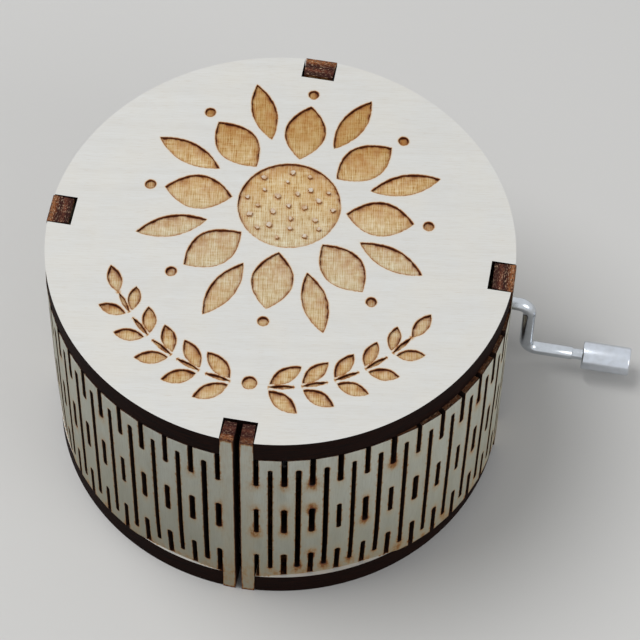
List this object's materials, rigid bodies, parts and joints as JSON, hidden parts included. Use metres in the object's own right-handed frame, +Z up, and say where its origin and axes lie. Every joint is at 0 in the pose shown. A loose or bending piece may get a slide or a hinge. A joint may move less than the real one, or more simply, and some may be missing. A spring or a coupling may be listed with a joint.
{
  "type": "hand crank music box",
  "caption": "Round laser-cut plywood music box: slotted side band that bends, engraved lid, bent wire crank with a turning knob, worm-driven pinned drum and comb inside.",
  "frame": {"origin": "centre of the round base's underside, where it stands on a table", "axes": "+X to the right along the crank shaft, out of the side wall; +Y to the back; +Z up. The band's seam is at the front, on -Y."},
  "size_m": [0.1025, 0.0804, 0.05],
  "materials": {
    "disc_plywood": "matte, laser-cut",
    "band_plywood": "matte, laser-cut",
    "steel": "polished wire",
    "screw_steel": "plain",
    "knob_aluminium": "turned",
    "brass": "plain",
    "casting": "as cast",
    "lead": "dull",
    "white_plastic": "moulded"
  },
  "bodies": {
    "box": {"base_disc": "disc_plywood", "side_band": "band_plywood", "lid_disc": "disc_plywood", "bedplate": "casting", "arbor_bracket": "steel", "bracket_screw": "screw_steel", "comb": "steel", "bass_weights": "lead", "comb_screws": "screw_steel", "movement_screws": "screw_steel"},
    "crank": {"crank_wire": "steel", "worm": "brass", "knob_retainer": "steel"},
    "knob": {"crank_knob": "knob_aluminium"},
    "cylinder": {"drum": "brass", "drum_pins": "steel", "left_drum_cap": "white_plastic", "right_drum_cap": "white_plastic", "arbor": "steel", "worm_wheel": "white_plastic"}
  },
  "joints": [
    {"name": "crank_turn", "type": "hinge", "parent": "box", "child": "crank", "pos_m": [0.04, 0.0166, 0.018], "axis": [1, 0, 0], "continuous": true},
    {"name": "knob_spin", "type": "hinge", "parent": "crank", "child": "knob", "pos_m": [0.0575, 0.0166, 0.0047], "axis": [1, 0, 0], "continuous": true},
    {"name": "cylinder_spin", "type": "hinge", "parent": "box", "child": "cylinder", "pos_m": [0.004, 0, 0.026], "axis": [0, 1, 0], "continuous": true}
  ],
  "couplings": [
    {"joint": "cylinder_spin", "follows": "crank_turn", "ratio": 0.055556}
  ]
}
